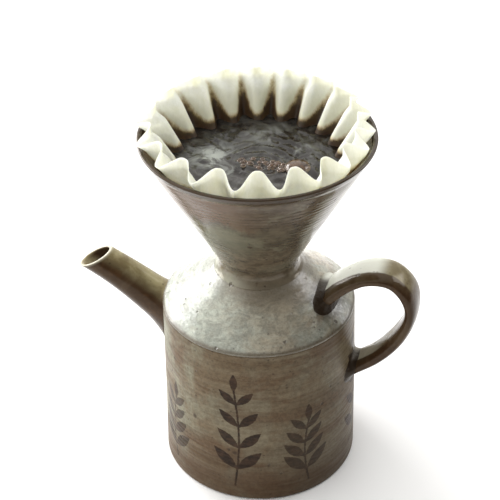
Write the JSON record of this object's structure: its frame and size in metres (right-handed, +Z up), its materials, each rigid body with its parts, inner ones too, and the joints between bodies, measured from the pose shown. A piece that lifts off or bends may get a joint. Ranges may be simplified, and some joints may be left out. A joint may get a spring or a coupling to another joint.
{
  "type": "pour over dripper",
  "caption": "Hand-made stoneware pour-over set: spouted pot with strap handle, lift-off cone dripper and pleated paper filter with coffee.",
  "frame": {"origin": "centre of the pot's flat base, on the surface it stands on", "axes": "+Z up along the axis of the pot and the dripper, spout towards -X, handle towards +X"},
  "size_m": [0.1871, 0.1233, 0.208],
  "materials": {
    "painted_wall_glaze": "satin",
    "pale_celadon_glaze": "gloss",
    "olive_brown_glaze": "gloss",
    "grey_brown_glaze": "gloss",
    "filter_paper": "matte",
    "wet_coffee_grounds": "matte",
    "coffee_with_foam": "gloss"
  },
  "bodies": {
    "pot": {"pot_body": "painted_wall_glaze", "pot_shoulder": "pale_celadon_glaze", "spout": "olive_brown_glaze", "handle": "olive_brown_glaze", "handle_upper_coil": "olive_brown_glaze", "handle_lower_coil": "olive_brown_glaze"},
    "dripper": {"dripper_cone": "grey_brown_glaze", "dripper_foot": "grey_brown_glaze"},
    "filter": {"paper_filter": "filter_paper", "coffee_bed": "wet_coffee_grounds", "coffee_slurry": "coffee_with_foam"}
  },
  "joints": [
    {"name": "dripper_lift", "type": "slide", "parent": "pot", "child": "dripper", "axis": [0, 0, 1], "range_m": [0, 0.08]},
    {"name": "filter_lift", "type": "slide", "parent": "dripper", "child": "filter", "axis": [0, 0, 1], "range_m": [0, 0.075]}
  ]
}
